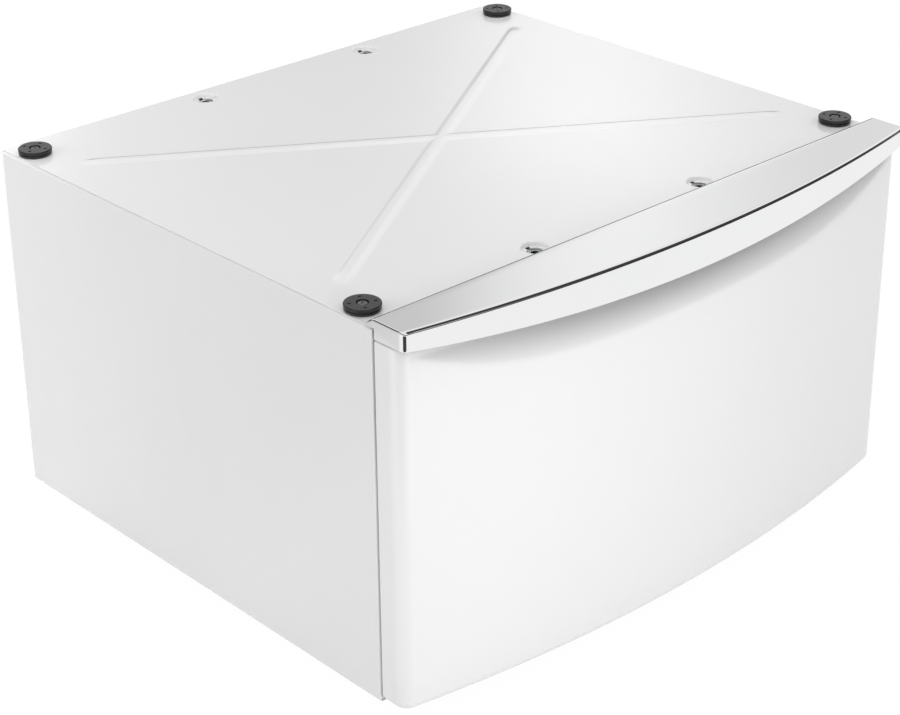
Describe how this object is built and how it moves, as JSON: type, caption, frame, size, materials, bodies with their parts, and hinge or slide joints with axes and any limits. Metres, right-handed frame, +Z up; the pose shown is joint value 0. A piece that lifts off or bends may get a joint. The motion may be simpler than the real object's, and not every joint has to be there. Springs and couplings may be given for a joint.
{
  "type": "washer pedestal drawer",
  "caption": "White sheet-steel laundry pedestal with a bowed, full-width storage drawer on ball-bearing slides, rubber corner pads and levelling feet.",
  "frame": {"origin": "centre of the overall plan outline, at the floor under the feet", "axes": "+X to the right across the width, +Y to the rear (the drawer front faces -Y), +Z up"},
  "size_m": [0.686, 0.644, 0.403],
  "materials": {
    "white_paint": "white powder-coated sheet steel, semi-gloss",
    "white_front": "smooth glossy white paint",
    "bright_trim": "polished chrome-plated trim",
    "zinc": "zinc-plated steel, satin",
    "slide_steel": "zinc-plated cold-rolled steel",
    "ball_steel": "bright steel",
    "black_rubber": "black rubber, slight sheen",
    "black_plastic": "black moulded plastic"
  },
  "bodies": {
    "cabinet": {"corner_pad_front_left": "black_rubber", "corner_pad_front_right": "black_rubber", "corner_pad_rear_left": "black_rubber", "corner_pad_rear_right": "black_rubber", "drawer_bumper_left": "black_rubber", "drawer_bumper_right": "black_rubber", "foot_bracket_front_left": "zinc", "foot_bracket_front_right": "zinc", "foot_bracket_rear_left": "zinc", "foot_bracket_rear_right": "zinc", "foot_lock_nut_front_left": "zinc", "foot_lock_nut_front_right": "zinc", "foot_lock_nut_rear_left": "zinc", "foot_lock_nut_rear_right": "zinc", "front_base_rail": "zinc", "front_mount_bar": "zinc", "front_top_rail": "zinc", "pad_screw_front_left": "zinc", "pad_screw_front_right": "zinc", "pad_screw_rear_left": "zinc", "pad_screw_rear_right": "zinc", "rear_base_rail": "zinc", "rear_mount_bar": "zinc", "rear_panel": "white_paint", "side_panel_left": "white_paint", "side_panel_right": "white_paint", "slide_mount_left": "zinc", "slide_mount_right": "zinc", "slide_outer_left": "slide_steel", "slide_outer_right": "slide_steel", "top_panel": "white_paint"},
    "drawer": {"drawer_bottom": "white_paint", "drawer_front_panel": "white_front", "drawer_inner_pan": "white_paint", "drawer_rear_wall": "white_paint", "drawer_wall_left": "white_paint", "drawer_wall_right": "white_paint", "front_screw_lower_left": "zinc", "front_screw_lower_right": "zinc", "front_screw_upper_left": "zinc", "front_screw_upper_right": "zinc", "handle_screw_left": "zinc", "handle_screw_right": "zinc", "handle_trim": "bright_trim", "slide_inner_left": "slide_steel", "slide_inner_right": "slide_steel"},
    "inner_ball_cage_left_body": {"inner_ball_cage_left": "ball_steel"},
    "inner_ball_cage_right_body": {"inner_ball_cage_right": "ball_steel"},
    "levelling_foot_front_left_body": {"levelling_foot_front_left": "black_plastic"},
    "levelling_foot_front_right_body": {"levelling_foot_front_right": "black_plastic"},
    "levelling_foot_rear_left_body": {"levelling_foot_rear_left": "black_plastic"},
    "levelling_foot_rear_right_body": {"levelling_foot_rear_right": "black_plastic"},
    "outer_ball_cage_left_body": {"outer_ball_cage_left": "ball_steel"},
    "outer_ball_cage_right_body": {"outer_ball_cage_right": "ball_steel"},
    "release_lever_left_body": {"release_lever_left": "black_plastic"},
    "release_lever_right_body": {"release_lever_right": "black_plastic"},
    "slide_middle_left_body": {"slide_middle_left": "slide_steel"},
    "slide_middle_right_body": {"slide_middle_right": "slide_steel"}
  },
  "joints": [
    {"name": "drawer_slide", "type": "slide", "parent": "cabinet", "child": "drawer", "axis": [0, -1, 0], "range_m": [0, 0.45]},
    {"name": "slide_middle_left_slide", "type": "slide", "parent": "cabinet", "child": "slide_middle_left_body", "axis": [0, -1, 0], "range_m": [0, 0.225]},
    {"name": "outer_ball_cage_left_slide", "type": "slide", "parent": "cabinet", "child": "outer_ball_cage_left_body", "axis": [0, -1, 0], "range_m": [0, 0.1125]},
    {"name": "inner_ball_cage_left_slide", "type": "slide", "parent": "cabinet", "child": "inner_ball_cage_left_body", "axis": [0, -1, 0], "range_m": [0, 0.3375]},
    {"name": "release_lever_left_hinge", "type": "hinge", "parent": "drawer", "child": "release_lever_left_body", "pos_m": [-0.313, -0.102, 0.13], "axis": [-1, 0, 0], "range_deg": [0, 10], "stiffness_Nm_per_rad": 0.05},
    {"name": "slide_middle_right_slide", "type": "slide", "parent": "cabinet", "child": "slide_middle_right_body", "axis": [0, -1, 0], "range_m": [0, 0.225]},
    {"name": "outer_ball_cage_right_slide", "type": "slide", "parent": "cabinet", "child": "outer_ball_cage_right_body", "axis": [0, -1, 0], "range_m": [0, 0.1125]},
    {"name": "inner_ball_cage_right_slide", "type": "slide", "parent": "cabinet", "child": "inner_ball_cage_right_body", "axis": [0, -1, 0], "range_m": [0, 0.3375]},
    {"name": "release_lever_right_hinge", "type": "hinge", "parent": "drawer", "child": "release_lever_right_body", "pos_m": [0.313, -0.102, 0.13], "axis": [-1, 0, 0], "range_deg": [0, 10], "stiffness_Nm_per_rad": 0.05},
    {"name": "levelling_foot_front_left_screw", "type": "slide", "parent": "cabinet", "child": "levelling_foot_front_left_body", "axis": [0, 0, -1], "range_m": [0, 0.02]},
    {"name": "levelling_foot_front_right_screw", "type": "slide", "parent": "cabinet", "child": "levelling_foot_front_right_body", "axis": [0, 0, -1], "range_m": [0, 0.02]},
    {"name": "levelling_foot_rear_left_screw", "type": "slide", "parent": "cabinet", "child": "levelling_foot_rear_left_body", "axis": [0, 0, -1], "range_m": [0, 0.02]},
    {"name": "levelling_foot_rear_right_screw", "type": "slide", "parent": "cabinet", "child": "levelling_foot_rear_right_body", "axis": [0, 0, -1], "range_m": [0, 0.02]}
  ],
  "couplings": [
    {"joint": "slide_middle_left_slide", "follows": "drawer_slide", "ratio": 0.5},
    {"joint": "outer_ball_cage_left_slide", "follows": "drawer_slide", "ratio": 0.25},
    {"joint": "inner_ball_cage_left_slide", "follows": "drawer_slide", "ratio": 0.75},
    {"joint": "slide_middle_right_slide", "follows": "drawer_slide", "ratio": 0.5},
    {"joint": "outer_ball_cage_right_slide", "follows": "drawer_slide", "ratio": 0.25},
    {"joint": "inner_ball_cage_right_slide", "follows": "drawer_slide", "ratio": 0.75}
  ]
}
